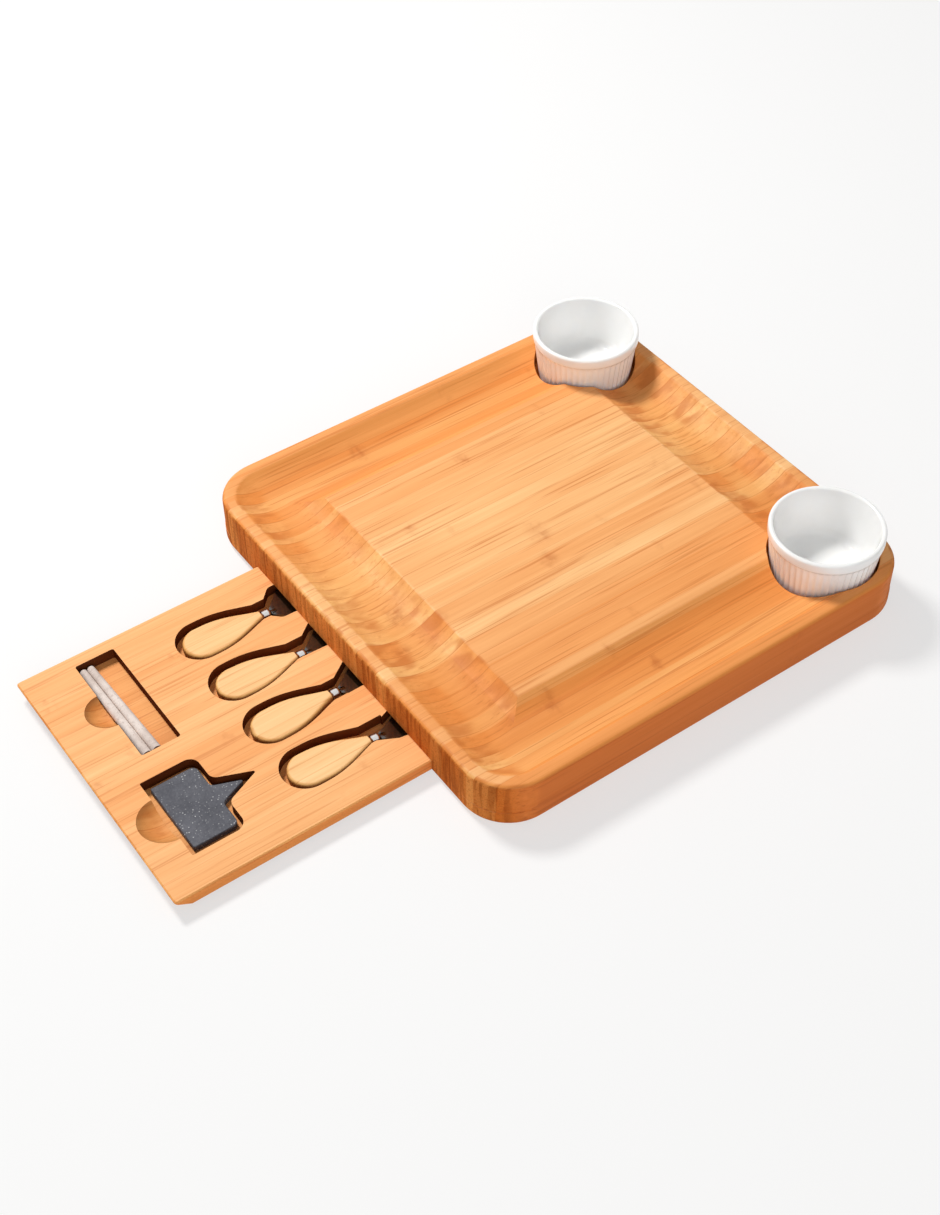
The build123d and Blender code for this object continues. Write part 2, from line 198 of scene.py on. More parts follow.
def strip_cells(f, width, uneven, feature="F1"):
    """Cells across the cane, one for each strip."""
    sockets = {"W": f.calc("DIVIDE", f.across, width), "Scale": 1.0, "Randomness": uneven}
    return f.add("TexVoronoi", sockets, voronoi_dimensions="1D", feature=feature).outputs


def listed_depth(f, strips):
    """How deep the tint of each strip is, from a list of starts in millimetres and depths."""
    steps = f.add("ValToRGB", {"Fac": f.line(f.across, 1000 / board_mm, 0.5)})
    bar = steps.color_ramp
    bar.interpolation = "CONSTANT"
    for start, depth in strips:
        bar.elements.new((start + board_mm / 2) / board_mm).color = (depth, depth, depth, 1)
    bar.elements.remove(bar.elements[0])
    bar.elements.remove(bar.elements[-1])
    return steps.outputs["Color"]


def lay_strips(f, strips):
    """The chances of each narrow strip, how deep its colour is, and the glue between strips."""
    chances = strip_cells(f, narrow_strip, 0.7)["Color"]
    f.tint, f.start, f.luck = f.add("SeparateColor", {"Color": chances}).outputs
    if strips:
        broad = listed_depth(f, strips)
    else:
        chances = strip_cells(f, broad_strip, 0.6)["Color"]
        broad = f.add("SeparateColor", {"Color": chances}).outputs[1]
    flat_depth = f.line(broad, 0.95, f.line(f.tint, 0.34, -0.12))
    f.depth = f.line(f.times(f.calc("SUBTRACT", f.tint, 0.45), f.slope), 0.75, flat_depth)
    seam = strip_cells(f, narrow_strip, 0.7, "DISTANCE_TO_EDGE")["Distance"]
    f.glue = f.ramp(seam, 0.0, 0.045, 1.0, 0.0)


print("strips ready: narrow", narrow_strip, "broad", broad_strip)

# %% [markdown]
# ## Bamboo: fibres
#
# The cane is full of long fibres. Noise that is drawn out along the cane gives them: fine
# ones, broad ones, soft clouds and a few dark lines. Each strip moves the noise on by its own
# start, so no fibre runs across a glue line. Slopes that cut the cane at a slant show a
# wavy figure as well, in clusters, which is the same noise drawn out less.

# %% Fibres


def drawn(f, pull, scale, detail=2.0, roughness=0.5, shift=(0, 0, 0)):
    """Noise drawn out along the cane: the smaller the pull, the longer the fibre."""
    return f.noise(f.place(f.moved, scale=(1, pull, 1), shift=shift), scale, detail, roughness)


def draw_fibres(f):
    places = {"X": f.across, "Y": f.calc("ADD", f.along, f.start), "Z": f.calc("ADD", f.up, f.tint)}
    f.moved = f.add("CombineXYZ", places).outputs[0]
    f.fine = drawn(f, 0.012, 1500, 3.0, 0.6)
    f.broad = drawn(f, 0.03, 260, 2.0, 0.55)
    f.cloud = drawn(f, 0.35, 24)
    f.lines = f.ramp(drawn(f, 0.02, 520, shift=(3, 1, 2)), 0.56, 0.70)
    wave = f.ramp(drawn(f, 0.2, 115, 1.0), 0.44, 0.66)
    cluster = f.ramp(f.noise(f.spot, 20, 1.0), 0.40, 0.58, 0.25, 1.0)
    f.figure = f.times(f.times(wave, cluster), f.slope)


print("fibres ready")

# %% [markdown]
# ## Bamboo: knuckles and knots
#
# A cane has a joint every 200 mm or so, which shows as a ragged brown band across its strip.
# The tree counts along the cane from each strip's own start and marks the middle of every
# count, on the lucky strips only. A few knots on the top board have places of their own: each
# is a smudge round one point, with the same ragged edge.

# %% Knuckles and knots
knuckle_step = 0.205


def add_knuckles(f, amount):
    f.ragged = f.noise(f.spot, 240, 3.0)
    f.patch = f.ramp(f.noise(f.spot, 150, 3.0), 0.42, 0.72)
    steps = f.calc("ADD", f.calc("DIVIDE", f.along, knuckle_step), f.times(f.start, 7.0))
    away = f.calc("SUBTRACT", f.calc("FRACT", steps), f.line(f.ragged, 0.05, 0.475))
    band = f.ramp(f.calc("ABSOLUTE", away), 0.0, 0.034, 1.0, 0.0)
    picked = f.ramp(f.luck, 0.45, 0.6)
    f.knuckle = f.times(f.times(band, f.patch), f.times(picked, amount))


def add_knots(f, knots):
    """Knots from a list of x, y and radius in millimetres; each is a little wider across."""
    wider = 0.75
    aside = f.add("CombineXYZ", {"X": f.line(f.ragged, 0.012, -0.006)}).outputs[0]
    bent = f.add("VectorMath", {0: f.spot, 1: aside}, operation="ADD").outputs[0]
    flat = f.place(bent, scale=(wider, 1.0, 0.0))
    broken = f.ramp(f.patch, 0.0, 0.8, 0.35, 1.0)
    for x, y, radius in knots:
        middle = (x * wider * 0.001, y * 0.001, 0)
        gap = f.add("VectorMath", {0: flat, 1: middle}, operation="DISTANCE").outputs["Value"]
        smudge = f.ramp(gap, 0.0, radius * 0.001, 0.75, 0.0)
        f.knuckle = f.calc("MAXIMUM", f.knuckle, f.times(smudge, broken))


print("knuckles ready, one each", knuckle_step)

# %% [markdown]
# ## Bamboo: colour
#
# The strip's depth mixes a pale and a deep colour. Fibres then darken it, blue more than
# green and green more than red, because wood grows redder as it grows darker. Dark lines,
# glue, figure and knuckles come last, each as a share of a darker brown. Faces that lean
# get a warmer, deeper tint as painted shade.

# %% Colour of the cane


def darker(colour, shares):
    return [part * share for part, share in zip(colour, shares)]


def cane_colour(f, pale, deep):
    colour = f.blend(f.depth, pale, deep)
    colour = f.blend(f.ramp(f.cloud, 0.35, 0.7, 0.0, 0.3), colour, deep)
    streak = f.line(f.broad, 0.40, f.line(f.fine, 0.28, 0.66))
    powers = {"Red": 0.7, "Green": 1.3, "Blue": 2.0}
    parts = {part: f.calc("POWER", streak, power) for part, power in powers.items()}
    colour = f.blend(0.74, colour, f.add("CombineColor", parts).outputs[0], "MULTIPLY")
    dark = darker(deep, (0.72, 0.58, 0.45))
    brown = darker(deep, (0.55, 0.38, 0.25))
    colour = f.blend(f.times(f.lines, f.line(f.slope, -0.3, 0.58)), colour, dark)
    colour = f.blend(f.times(f.glue, f.line(f.slope, 0.35, 0.34)), colour, dark)
    colour = f.blend(f.times(f.figure, 0.62), colour, dark)
    colour = f.blend(f.times(f.knuckle, 0.70), colour, brown)
    # Painted shade: faces that lean get a warmer, deeper tint.
    lean_shade = f.ramp(f.flatness, 0.80, 0.99, 1.0, 0.0)
    return f.blend(lean_shade, colour, (0.97, 0.91, 0.72), "MULTIPLY")


print("colour ready")

# %% [markdown]
# ## Bamboo: painted shade, and cut ends
#
# Hollows that face up, such as the trough, get painted shade that deepens towards their bottom,
# and upright faces get a deeper tint as painted shade. The walls of the drawer's pockets get a
# deep brown that is mostly painted shade, with some toasting from the cutter; its outside is
# plain. Ends cut straight across the cane are the deepest and the dullest: they show a bar for
# each layer of fibres and a dot for each cut fibre.

# %% Painted shade on hollows, sides and pocket walls; cut ends
# Painted shade: upright faces are multiplied by a deeper tint.
side_shade_tint = (0.93, 0.71, 0.53)
end_tint = (0.56, 0.46, 0.36)
tray_half = 0.1
tray_front = -0.3375


def paint_face_shade(f, colour, hollow_shade, pocket_wall_shade):
    # Painted shade in hollows: flat faces below a height get darker, the more the lower they lie.
    if hollow_shade:
        low, high, shade_in_hollows = hollow_shade
        sunk_shade = f.times(f.ramp(f.up, low, high, 1.0, 0.0), f.ramp(f.flatness, 0.5, 0.7))
        colour = f.blend(sunk_shade, colour, shade_in_hollows, "MULTIPLY")
    # Painted shade on upright faces.
    side_shaded = f.blend(f.ramp(f.flatness, 0.25, 0.8, 1.0, 0.0), colour, side_shade_tint, "MULTIPLY")
    if not pocket_wall_shade:
        return side_shaded
    # Painted shade on the walls of the drawer's pockets, inside the tray only: mostly shade, with some
    # toasting from the cutter.
    x, y, _ = f.add("SeparateXYZ", {"Vector": f.raw}).outputs
    between = f.ramp(f.calc("ABSOLUTE", x), tray_half - 0.0015, tray_half - 0.0008, 1.0, 0.0)
    inside = f.times(between, f.ramp(y, tray_front + 0.0010, tray_front + 0.0017))
    walls_shaded = f.blend(f.ramp(f.flatness, 0.45, 0.999, 1.0, 0.0), colour, pocket_wall_shade, "MULTIPLY")
    return f.blend(inside, side_shaded, walls_shaded)


def cut_ends(f, colour, end):
    cells = f.add("TexVoronoi", {"Vector": f.place(f.spot, scale=(1, 0.02, 1)), "Scale": 1050.0}).outputs
    dot = f.ramp(cells["Distance"], 0.12, 0.42, 0.6, 1.0)
    dots = f.add("CombineColor", {"Red": dot, "Green": dot, "Blue": dot}).outputs[0]
    bars = f.ramp(f.noise(f.place(f.spot, scale=(1, 0, 0.08)), 300), 0.44, 0.60)
    share = f.line(bars, 0.55, f.line(f.tint, 0.45, f.line(f.depth, 0.3, -0.14)))
    grain = f.blend(0.8, f.blend(share, colour, end, "MULTIPLY"), dots, "MULTIPLY")
    f.cut = f.times(f.ramp(f.endwise, 0.3, 0.75), f.ramp(f.flatness, 0.5, 0.75, 1.0, 0.0))
    return f.blend(f.cut, colour, grain)


print("faces ready")

# %% [markdown]
# ## Bamboo: the finishes
#
# Each bamboo piece gets the same tree with its own colours. The rails continue the board's
# own strips, the rear rail runs across, and the drawer, its sheet and the knife handles are
# cut from other canes, so each is shifted to another part of the pattern.

# %% The bamboo finishes


def bamboo(name, pale, deep, strips=None, knots=(), shift=0.0, turn=0.0, knuckles=1.0,
           end=end_tint, hollow_shade=None, pocket_wall_shade=None):
    f = Finish(name)
    read_place(f, shift, turn)
    lay_strips(f, strips)
    draw_fibres(f)
    add_knuckles(f, knuckles)
    if knots:
        add_knots(f, knots)
    colour = cane_colour(f, pale, deep)
    colour = paint_face_shade(f, colour, hollow_shade, pocket_wall_shade)
    colour = cut_ends(f, colour, end)
    f.set(Base_Color=colour, Roughness=f.line(f.cut, 0.25, f.line(f.broad, -0.14, 0.64)))
    f.set(Specular_IOR_Level=f.line(f.cut, -0.17, 0.22))
    height = f.calc("ADD", f.times(f.fine, 0.7), f.line(f.glue, -0.5, f.times(f.knuckle, -0.4)))
    f.bump(height, 0.22, 0.00025)
    return f.material


board_strips = [(-165, 1.0), (-156, 0.8), (-140, 0.6), (-122, 0.8), (-111, 0.8), (-95, 0.4),
                (-58, 0.25), (-30, 0.45), (-3, 0.2), (8, 0.55), (16, 0.4), (35, 0.3), (52, 0.6),
                (75, 0.8), (98, 0.55), (110, 0.9), (135, 0.4), (153, 1.0)]
board_knots = [(2, -13, 11), (26, -22, 9), (-85, -12, 7), (-48, -78, 6), (-138, -60, 9),
               (4, -125, 11), (32, -138, 10), (117, -90, 9), (128, -18, 6), (108, -38, 5)]
board_pale = from_screen(250, 198, 137)
board_deep = from_screen(235, 152, 82)
# The deep brown of the painted shade on the drawer's pocket walls.
pocket_shade = (0.11, 0.05, 0.022)
# The board's trough gets painted shade that deepens towards its bottom.
board_bamboo = bamboo("board_bamboo", board_pale, board_deep, board_strips, board_knots, knuckles=0.25,
                      hollow_shade=(0.0276, 0.0352, (0.94, 0.84, 0.66)))
rail_bamboo = bamboo("rail_bamboo", board_pale, board_deep, board_strips)
cross_bamboo = bamboo("cross_bamboo", board_pale, board_deep, shift=0.77, turn=math.pi / 2)
# The drawer gets painted shade in its scoops and on its pocket walls.
drawer_bamboo = bamboo("drawer_bamboo", from_screen(249, 187, 125), from_screen(241, 164, 97),
                       shift=0.231, knuckles=0.5, end=(0.8, 0.7, 0.6),
                       hollow_shade=(0.0060, 0.0112, (0.84, 0.72, 0.56)), pocket_wall_shade=pocket_shade)
sheet_bamboo = bamboo("sheet_bamboo", from_screen(244, 172, 102), from_screen(230, 148, 80),
                      shift=0.61, knuckles=0.0)
handle_bamboo = bamboo("handle_bamboo", from_screen(251, 206, 149), from_screen(246, 187, 124),
                       shift=0.9, knuckles=0.0)
print("nodes in the board's finish:", len(board_bamboo.node_tree.nodes))

# %% [markdown]
# ## Glaze and steel
#
# The bowls are white porcelain under a clear glaze: a pale body that lets a little light in,
# and is duller where the glaze is thin. The knives are steel, brushed along the blade and
# polished on the ferrule. The blade's stretch just past its ferrule is painted dark as painted
# shade, so the steel takes a place along the knife where that painted shade ends.

# %% Glaze and steel


def white_glaze():
    f = Finish("white_glaze")
    spot = f.add("TexCoord").outputs["Object"]
    cloud = f.noise(spot, 45, 3.0)
    colour = f.blend(f.ramp(cloud, 0.35, 0.75), from_screen(251, 251, 250), from_screen(248, 248, 247))
    f.set(Base_Color=colour, Roughness=f.ramp(cloud, 0.3, 0.8, 0.10, 0.17))
    f.set(Coat_Weight=0.35, Coat_Roughness=0.04)
    f.set(Subsurface_Weight=0.5, Subsurface_Radius=(1.0, 0.95, 0.9), Subsurface_Scale=0.003)
    f.bump(f.noise(spot, 160, 1.0), 0.05, 0.0004)
    return f.material


def steel(name, grain, rough_low, rough_high, shade_ends_at=None):
    f = Finish(name)
    spot = f.add("TexCoord").outputs["Object"]
    brush = f.noise(f.place(spot, scale=grain), 1400, 3.0, 0.6)
    smear = f.noise(spot, 90)
    colour = f.blend(brush, from_screen(200, 199, 197), from_screen(226, 225, 223))
    if shade_ends_at:
        along = f.add("SeparateXYZ", {"Vector": spot}).outputs[1]
        # Painted shade: near its ferrule the blade gets a dark steel colour.
        scale = f.blend(brush, from_screen(92, 90, 88), from_screen(114, 112, 110))
        unshaded = f.ramp(f.line(smear, 0.012, along), shade_ends_at, shade_ends_at + 0.016)
        colour = f.blend(unshaded, scale, colour)
    f.set(Base_Color=colour, Metallic=1.0)
    f.set(Roughness=f.line(smear, 0.05, f.ramp(brush, 0.3, 0.7, rough_low, rough_high)))
    f.bump(brush, 0.08, 0.00004)
    return f.material


glaze = white_glaze()
ferrule_steel = steel("ferrule_steel", (1, 1, 1), 0.14, 0.22)
# The blade is painted dark up to y = -0.155 m as painted shade.
blade_steel = steel("blade_steel", (1, 0.03, 1), 0.05, 0.10, shade_ends_at=-0.155)
print("made:", glaze.name, ferrule_steel.name, blade_steel.name)

# %% [markdown]
# ## Slate and chalk
#
# The slate marker is a split stone: matt, layered, with pale grains that catch the light in
# clusters. Cells with a chance each give the grains, so that only some of them show. The
# chalk is dry and powdery, so one rough noise makes both its grey dust and its small pits.

# %% Slate and chalk


def riven_slate():
    f = Finish("riven_slate")
    spot = f.add("TexCoord").outputs["Object"]
    layers = f.noise(f.place(spot, scale=(1, 1, 6)), 70, 5.0, 0.62)
    grain = f.noise(spot, 900, 3.0, 0.6)
    colour = f.blend(f.ramp(layers, 0.3, 0.7), from_screen(70, 71, 79), from_screen(90, 91, 99))
    fleck = f.add("TexVoronoi", {"Vector": spot, "Scale": 640.0}).outputs
    near = f.ramp(fleck["Distance"], 0.14, 0.34, 1.0, 0.0)
    chance = f.add("SeparateColor", {"Color": fleck["Color"]}).outputs[0]
    pale = f.times(near, f.ramp(chance, 0.38, 0.62))
    cluster = f.ramp(f.noise(spot, 60), 0.34, 0.60)
    colour = f.blend(f.times(f.times(pale, cluster), 0.8), colour, from_screen(206, 207, 208))
    f.set(Base_Color=colour, Roughness=f.ramp(grain, 0.3, 0.7, 0.68, 0.86))
    f.bump(f.line(grain, 0.35, layers), 0.5, 0.0007)
    return f.material


def dry_chalk():
    f = Finish("dry_chalk")
    spot = f.add("TexCoord").outputs["Object"]
    dust = f.noise(spot, 420, 4.0, 0.65)
    cloud = f.ramp(f.noise(spot, 60), 0.3, 0.7)
    colour = f.blend(cloud, from_screen(232, 219, 211), from_screen(208, 192, 183))
    colour = f.blend(f.ramp(dust, 0.50, 0.72, 0.0, 0.5), colour, from_screen(172, 154, 146))
    f.set(Base_Color=colour, Roughness=f.ramp(dust, 0.3, 0.7, 0.86, 0.97))
    f.bump(dust, 0.4, 0.0004)
    return f.material


slate_finish = riven_slate()
chalk_finish = dry_chalk()
print("made:", slate_finish.name, chalk_finish.name)

# %% [markdown]
# ## From a bmesh to a piece
#
# Every new piece ends the same way: its loose doubles are merged, its normals are turned out,
# edges sharper than a limit stay sharp while the rest shade smooth, the piece is hung on the
# body that it rides on, and the solids that it stands for are hidden. Two more helpers draw a
# section the way it is drawn on paper, as arcs and straight lines from point to point.

# %% Finishing a piece
weld = 2e-6


def make_piece(bm, name, body, finish, solids, sharp=35.0):
    bmesh.ops.remove_doubles(bm, verts=bm.verts, dist=weld)
    bmesh.ops.recalc_face_normals(bm, faces=bm.faces)
    for face in bm.faces:
        face.smooth = True
    for edge in bm.edges:
        edge.smooth = len(edge.link_faces) == 2 and edge.calc_face_angle() < math.radians(sharp)
    mesh = bpy.data.meshes.new(name)
    bm.to_mesh(mesh)
    bm.free()
    mesh.materials.append(finish)
    piece = bpy.data.objects.new(name, mesh)
    bpy.context.scene.collection.objects.link(piece)
    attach(piece, body)
    if solids:
        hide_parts(*solids)
    print(name, "faces", len(mesh.polygons), "size", [round(v * 1000, 1) for v in piece.dimensions])
    return piece


def only_verts(geom):
    return [part for part in geom if isinstance(part, bmesh.types.BMVert)]


def spin_from(bm, vert, centre, axis, angle, steps):
    """Turn one vertex about an axis; the path that it leaves is a chain of edges."""
    spun = bmesh.ops.spin(bm, geom=[vert], cent=centre, axis=axis, angle=angle, steps=steps)
    return only_verts(spun["geom_last"])[0]


def pull_from(bm, vert, place):
    """Draw an edge from a vertex to a place."""
    pulled = bmesh.ops.extrude_vert_indiv(bm, verts=[vert])["verts"][0]
    pulled.co = place
    return pulled


print("piece helpers ready")

# %% [markdown]
# ## The top board
#
# The trough was cut by a round-nosed cutter that went round a square. So its outer slope
# turns each corner in a smooth bowl, while its inner slopes meet in a crease that runs out
# from the platform's corner. A boolean would copy that cut, but its edges could not be
# softened well, so the cut is drawn as the cutter made it. The cutter's width and depth give
# the radius of its nose, and how far it swings from the bottom of the trough to the top.

# %% Sizes of the top board
board_low, board_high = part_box("top_board")
half = board_high.x
top = board_high.z
platform_half = 0.106
cutter_half = 0.025
trough_depth = 0.0085
cutter_radius = (cutter_half**2 + trough_depth**2) / (2 * trough_depth)
path_half = platform_half + cutter_half
swing = math.asin(cutter_half / cutter_radius)
edge_round = 0.003
print("cutter radius mm", round(cutter_radius * 1000, 2), "half turn", round(math.degrees(swing), 2))

# %% [markdown]
# One vertex at the bottom of the trough is spun up the outer slope, pulled over the rim and
# spun round its edge. That line is spun a quarter turn about the corner and extruded along
# one side. The inner half is spun the other way, laid on the mitre line between two sides
# and mirrored to the next corner. Four turned copies of this quarter make the whole trough.

# %% The trough's curve, spun round a corner and run along a side
slope_steps = 12
rim_steps = 5
corner_steps = 16


def outer_half(bm, bottom, hub):
    """Up the slope, over the rim, round its edge and down the side."""
    rim = spin_from(bm, bm.verts.new(bottom), hub, (0, 1, 0), -swing, slope_steps)
    lip = pull_from(bm, rim, (half - edge_round, path_half, top))
    centre = (half - edge_round, path_half, top - edge_round)
    side = spin_from(bm, lip, centre, (0, 1, 0), math.pi / 2, rim_steps)
    pull_from(bm, side, (half, path_half, board_low.z))
    line = list(bm.edges)
    bmesh.ops.spin(bm, geom=list(bm.verts) + line, cent=bottom, axis=(0, 0, 1), angle=math.pi / 2,
                   steps=corner_steps)
    run = only_verts(bmesh.ops.extrude_edge_only(bm, edges=line)["geom"])
    bmesh.ops.translate(bm, verts=run, vec=(0, -2 * path_half, 0))


def inner_half(bm, bottom, hub):
    """Up to the platform, laid on the mitre and mirrored to the next corner."""
    known = set(bm.verts)
    spin_from(bm, bm.verts.new(bottom), hub, (0, 1, 0), swing, slope_steps)
    mitre = [v for v in bm.verts if v not in known]
    for vert in mitre:
        vert.co.y = vert.co.x
    line = [e for e in bm.edges if all(v in mitre for v in e.verts)]
    run = only_verts(bmesh.ops.extrude_edge_only(bm, edges=line)["geom"])
    bmesh.ops.scale(bm, verts=run, vec=(1, -1, 1))


bm = bmesh.new()
bottom = Vector((path_half, path_half, top - trough_depth))
hub = bottom + Vector((0, 0, cutter_radius))
outer_half(bm, bottom, hub)
inner_half(bm, bottom, hub)
quarter = list(bm.verts) + list(bm.edges) + list(bm.faces)
for count in range(1, 4):
    copied = only_verts(bmesh.ops.duplicate(bm, geom=quarter)["geom"])
    turned = Matrix.Rotation(count * math.pi / 2, 3, "Z")
    bmesh.ops.rotate(bm, verts=copied, cent=(0, 0, 0), matrix=turned)
bmesh.ops.remove_doubles(bm, verts=bm.verts, dist=1e-5)
bmesh.ops.dissolve_degenerate(bm, edges=bm.edges, dist=1e-6)
print("walls and trough", len(bm.faces), "faces")

# %% [markdown]
# The platform and the underside are still open. Each is one flat face, made from its own
# ring of open edges. Wood is sanded after it is cut, so the crisp edges round the platform
# and along the rim get a fine bevel; the trough's own curve is left as the cutter made it.

# %% The platform, the underside and softened edges
level_within = 1e-5
crisp_angle = math.radians(25)
sanded = 0.0011


def all_above(edge, height):
    return all(v.co.z > height for v in edge.verts)


open_edges = [e for e in bm.edges if e.is_boundary]
flat = [e for e in open_edges if all_above(e, top - level_within)]
under = [e for e in open_edges if all(v.co.z < board_low.z + level_within for v in e.verts)]
bmesh.ops.contextual_create(bm, geom=flat)
bmesh.ops.contextual_create(bm, geom=under)
bmesh.ops.recalc_face_normals(bm, faces=bm.faces)
creased = [e for e in bm.edges if len(e.link_faces) == 2 and e.calc_face_angle() > crisp_angle]
crisp = [e for e in creased if all_above(e, top - level_within)]
bmesh.ops.bevel(bm, geom=crisp, offset=sanded, offset_type="OFFSET", affect="EDGES", segments=3,
                profile=0.5, material=-1, clamp_overlap=True)
print("edges softened", len(crisp), "open edges left", sum(e.is_boundary for e in bm.edges))

# %% [markdown]
# The bowls stand in two round sockets. They are plain bored holes, so here a boolean is the
# right tool: two cylinders are taken out of the finished board. Each cylinder stands on the
# socket's floor and reaches well above the board, so only its wall and its lower end cut.

# %% Bore the sockets
socket_radius = 0.036
socket_depth = 0.0167
socket_offset = 0.123
bore_reach = 0.1
socket_floor = top - socket_depth
socket_places = [Vector((side * socket_offset, socket_offset, 0)) for side in (-1, 1)]


def bored(bm):
    blank = bpy.data.meshes.new("blank")
    bm.to_mesh(blank)
    bm.free()
    tool = bmesh.new()
    for place in socket_places:
        seat = Matrix.Translation(place + Vector((0, 0, socket_floor + bore_reach / 2)))
        bmesh.ops.create_cone(tool, cap_ends=True, segments=128, radius1=socket_radius,
                              radius2=socket_radius, depth=bore_reach, matrix=seat)
    cutter = bpy.data.meshes.new("cutter")
    tool.to_mesh(cutter)
    tool.free()
    pair = [bpy.data.objects.new(mesh.name, mesh) for mesh in (blank, cutter)]
    for thing in pair:
        bpy.context.scene.collection.objects.link(thing)
    cut = pair[0].modifiers.new("bore", "BOOLEAN")
    cut.object = pair[1]
    cut.operation = "DIFFERENCE"
    cut.solver = "EXACT"
    ready = pair[0].evaluated_get(bpy.context.evaluated_depsgraph_get())
    result = bmesh.new()
    result.from_mesh(bpy.data.meshes.new_from_object(ready))
    for thing in pair:
        bpy.data.objects.remove(thing)
    return result


make_piece(bored(bm), "top_board_bamboo", "board", board_bamboo, ["top_board"], sharp=28)

# %% [markdown]
# ## The bowls
#
# A ramekin is thrown or pressed on a wheel, so its section is drawn once and spun. The line
# starts in the middle of the underside, goes out to the foot ring, up the wall, out to the
# plain band under the lip, over the lip and down the inside to the middle of the floor.

# %% Section of a bowl
bowl_low, bowl_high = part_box("right_bowl")
bowl_height = bowl_high.z - bowl_low.z
rim_radius = (bowl_high.x - bowl_low.x) / 2
foot_radius = 0.0326
foot_lift = 0.001
band_height = 0.0075
band_step = 0.0009
wall = 0.0034
bowl_floor = 0.0045
soft = 0.0016
inner_round = 0.007
steep = math.radians(84)
wall_steps = 14
body_radius = rim_radius - band_step
shoulder = bowl_height - band_height


def bowl_section(bm):
    """Draw the section, and give the height at which its outer wall begins."""
    turn = (0, 1, 0)
    vert = bm.verts.new((0, 0, foot_lift))
    for inset, height in ((0.0044, foot_lift), (0.0036, 0.0), (soft, 0.0)):
        vert = pull_from(bm, vert, (foot_radius - inset, 0, height))
    vert = spin_from(bm, vert, (foot_radius - soft, 0, soft), turn, -steep, 5)
    low = vert.co.copy()
    for step in range(1, wall_steps + 1):
        vert = pull_from(bm, vert, low.lerp(Vector((body_radius, 0, shoulder)), step / wall_steps))
    swell = ((body_radius + 0.0004, 0.0003), (rim_radius - 0.0001, 0.0009), (rim_radius, soft))
    for radius, rise in swell:
        vert = pull_from(bm, vert, (radius, 0, shoulder + rise))
    lip = bowl_height - soft
    vert = pull_from(bm, vert, (rim_radius, 0, lip))
    vert = spin_from(bm, vert, (rim_radius - soft, 0, lip), turn, -math.pi / 2, 5)
    vert = pull_from(bm, vert, (rim_radius - wall + soft, 0, bowl_height))
    vert = spin_from(bm, vert, (rim_radius - wall + soft, 0, lip), turn, -steep, 5)
    corner = foot_radius - wall
    vert = pull_from(bm, vert, (corner, 0, bowl_floor + inner_round))
    vert = spin_from(bm, vert, (corner - inner_round, 0, bowl_floor + inner_round), turn, math.pi / 2, 8)
    pull_from(bm, vert, (0, 0, bowl_floor))
    return low.z


print("bowl mm: rim", round(rim_radius * 2000, 1), "height", round(bowl_height * 1000, 1))

# %% [markdown]
# The flutes are pressed into the soft clay and the glaze rounds them off. Cutting them out
# one by one would leave hard edges, so the spun wall is given enough steps and each vertex of
# the outer wall is drawn in by a soft wave that fades out at the band and at the foot.

# %% Flutes
flutes = 52
steps_per_flute = 8
flute_depth = 0.00075
fade_low = 0.003
fade_high = 0.0025
wall_slack = 0.0012


def fluted_bowl(name, place):
    bm = bmesh.new()
    low = bowl_section(bm)
    section = list(bm.verts) + list(bm.edges)
    bmesh.ops.spin(bm, geom=section, cent=(0, 0, 0), axis=(0, 0, 1), angle=2 * math.pi,
                   steps=flutes * steps_per_flute, use_merge=True)
    bmesh.ops.remove_doubles(bm, verts=bm.verts, dist=1e-6)
    for vert in bm.verts:
        reach = math.hypot(vert.co.x, vert.co.y)
        outer = foot_radius + (body_radius - foot_radius) * vert.co.z / shoulder - wall_slack
        if low <= vert.co.z <= shoulder + 0.0001 and reach > outer:
            wave = abs(math.cos(math.atan2(vert.co.y, vert.co.x) * flutes / 2)) ** 1.3
            fade = min(1, (vert.co.z - low) / fade_low, (shoulder - vert.co.z) / fade_high)
            vert.co.xy *= 1 - flute_depth * wave * max(fade, 0) / reach
    bmesh.ops.translate(bm, verts=bm.verts, vec=place)
    return make_piece(bm, name + "_glazed", name, glaze, [name], sharp=60)


for name in ("left_bowl", "right_bowl"):
    low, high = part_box(name)
    fluted_bowl(name, Vector(((low.x + high.x) / 2, (low.y + high.y) / 2, low.z)))

# %% [markdown]
# ## The blades
#
# A polished blade is a mirror, and a mirror shows every small fault of the normals that the
# solid's mesh came with. So each blade is copied into a bmesh, its facets on one plane are
# joined into one face, and the finished copy has truly flat sides and crisp edges. Past the
# ferrule the round tang is hammered flat into the blade: the copy is cut where the ferrule
# ends, and what stands above or below the blade from there on is pressed level with it.

# %% Flat, polished blades
knives = ("flat_knife", "pronged_knife", "cleaver", "spade_knife")
blade_half = 0.0008
ferrule_overlap = 0.0003
one_plane = math.radians(0.5)
for knife in knives:
    bm = bmesh.new()
    bm.from_mesh(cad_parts[knife + "_blade"].data)
    bmesh.ops.remove_doubles(bm, verts=bm.verts, dist=weld)
    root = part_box(knife + "_ferrule")[1].y - ferrule_overlap
    bmesh.ops.bisect_plane(bm, geom=list(bm.verts) + list(bm.edges) + list(bm.faces), dist=1e-6,
                           plane_co=(0, root, 0), plane_no=(0, 1, 0))
    level = sum(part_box(knife + "_blade")[side].z for side in (0, 1)) / 2
    for vert in bm.verts:
        if vert.co.y > root + level_within:
            vert.co.z = level + max(-blade_half, min(blade_half, vert.co.z - level))
    bmesh.ops.remove_doubles(bm, verts=bm.verts, dist=weld)
    bmesh.ops.dissolve_limit(bm, angle_limit=one_plane, verts=bm.verts, edges=bm.edges)
    make_piece(bm, knife + "_polished_blade", "drawer", blade_steel, [knife + "_blade"], sharp=30)

